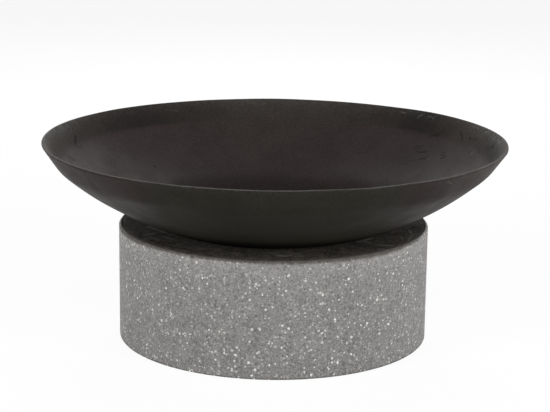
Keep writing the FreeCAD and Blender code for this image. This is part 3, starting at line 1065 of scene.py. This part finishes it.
def add_floor(stage):
    """Round floor of the stage."""
    angle = angles_round(FLOOR_SIDES)
    edge = np.stack([np.cos(angle), np.sin(angle), 0 * angle], axis=1) * stage.floor_radius
    mesh = bpy.data.meshes.new("floor")
    mesh.from_pydata(edge.tolist(), [], [list(range(FLOOR_SIDES))])
    mesh.materials.append(floor_material(stage))
    floor = add_object("floor", mesh)


def set_world(stage):
    """White surroundings when looked at, and softer when they light the object."""
    world = bpy.data.worlds.new("studio")
    tree, output = empty_tree(world, "OutputWorld")
    strength = put(tree, "MapRange", Value=seen_directly(tree), To_Min=stage.sky_light, To_Max=1.0)
    back = put(tree, "Background", Color=(1.0, 1.0, 1.0, 1.0), Strength=strength.outputs["Result"])
    fill(output, Surface=back.outputs["Background"])
    bpy.context.scene.world = world


def add_softbox(stage, name, round_front, upwards, light):
    """Rectangular lamp that faces the middle of the object.

    At distance d a lamp of power p lights a surface that faces it by p / (pi * d) ** 2.
    """
    lamp = bpy.data.lights.new(name, "AREA")
    lamp.shape = "RECTANGLE"
    lamp.size, lamp.size_y = SOFTBOX_SIZE
    lamp.energy = light * (math.pi * stage.lamp_distance) ** 2
    stand = add_object(name, lamp)
    turn, tilt = math.radians(round_front), math.radians(upwards)
    way = Vector((math.sin(turn) * math.cos(tilt), -math.cos(turn) * math.cos(tilt), math.sin(tilt)))
    stand.location = way * stage.lamp_distance + Vector((0.0, 0.0, stage.lamp_aim))
    stand.rotation_euler = (-way).to_track_quat("-Z", "Y").to_euler()


def add_camera(stage):
    """Camera at the photograph's viewpoint: yaw, then pitch, then roll about its own view."""
    data = bpy.data.cameras.new("camera")
    data.sensor_fit = "HORIZONTAL"
    data.sensor_width = stage.sensor
    data.lens = stage.lens
    data.clip_end = 100.0
    camera = add_object("camera", data)
    yaw, pitch, roll = stage.camera_yaw, stage.camera_pitch, stage.camera_roll
    forward = Vector((math.sin(yaw) * math.cos(pitch), math.cos(yaw) * math.cos(pitch), -math.sin(pitch)))
    level = Vector((math.cos(yaw), -math.sin(yaw), 0.0))
    upright = level.cross(forward)
    right = math.cos(roll) * level + math.sin(roll) * upright
    up = math.cos(roll) * upright - math.sin(roll) * level
    turn = Matrix((right, up, -forward)).transposed().to_4x4()
    spot = Vector((0.0, -stage.camera_distance, stage.camera_height))
    camera.matrix_world = Matrix.Translation(spot) @ turn
    bpy.context.scene.camera = camera


def finish_piece(piece, material, body, node):
    """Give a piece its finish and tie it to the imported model."""
    piece.data.materials.append(material)
    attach(piece, body)
    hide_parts(node)


# Operators

class FIREBOWL_OT_bowl(bpy.types.Operator):
    """Make the blackened iron bowl"""

    bl_idname = "firebowl.bowl"
    bl_label = "Iron Bowl"

    def execute(self, context):
        bowl = context.scene.firebowl.bowl
        piece = make_bowl_mesh(bowl)
        finish_piece(piece, blackened_iron(bowl), "bowl", "fire_bowl")
        return {"FINISHED"}


class FIREBOWL_OT_ring(bpy.types.Operator):
    """Make the black ring let into the base"""

    bl_idname = "firebowl.ring"
    bl_label = "Black Ring"

    def execute(self, context):
        ring = context.scene.firebowl.ring
        piece = loop_object("top_ring_black", ring_grid(ring))
        finish_piece(piece, black_coat(ring), "base", "top_ring")
        return {"FINISHED"}


class FIREBOWL_OT_base(bpy.types.Operator):
    """Make the speckled cement drum"""

    bl_idname = "firebowl.base"
    bl_label = "Speckled Drum"

    def execute(self, context):
        base = context.scene.firebowl.base
        piece = make_drum_mesh(base)
        material = speckled_cement(base, context.scene.firebowl.ring)
        finish_piece(piece, material, "base", "base_shell")
        return {"FINISHED"}


class FIREBOWL_OT_stage(bpy.types.Operator):
    """Set up the floor, the surroundings, the lamps and the camera"""

    bl_idname = "firebowl.stage"
    bl_label = "Stage"

    def execute(self, context):
        stage = context.scene.firebowl.stage
        add_floor(stage)
        set_world(stage)
        for softbox in SOFTBOXES:
            add_softbox(stage, *softbox)
        add_camera(stage)
        context.scene.view_settings.view_transform = "Standard"
        return {"FINISHED"}


class FIREBOWL_PT_parts(bpy.types.Panel):
    """Lists the pieces of the fire bowl"""

    bl_label = "Fire Bowl"
    bl_idname = "FIREBOWL_PT_parts"
    bl_space_type = "VIEW_3D"
    bl_region_type = "UI"
    bl_category = "Fire Bowl"

    def draw(self, context):
        for operator in OPERATORS:
            self.layout.operator(operator.bl_idname)


OPERATORS = (FIREBOWL_OT_bowl, FIREBOWL_OT_ring, FIREBOWL_OT_base, FIREBOWL_OT_stage)
CLASSES = (
    BowlSettings, RingSettings, BaseSettings, StageSettings, FireBowlSettings,
    *OPERATORS, FIREBOWL_PT_parts,
)


def register():
    """Add the classes and the settings to Blender."""
    for item in CLASSES:
        bpy.utils.register_class(item)
    bpy.types.Scene.firebowl = PointerProperty(type=FireBowlSettings)


def unregister():
    """Take the settings and the classes out again."""
    del bpy.types.Scene.firebowl
    for item in reversed(CLASSES):
        bpy.utils.unregister_class(item)


def main():
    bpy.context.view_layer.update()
    register()
    bpy.ops.firebowl.bowl()
    bpy.ops.firebowl.ring()
    bpy.ops.firebowl.base()
    bpy.ops.firebowl.stage()


if __name__ == "__main__":
    main()
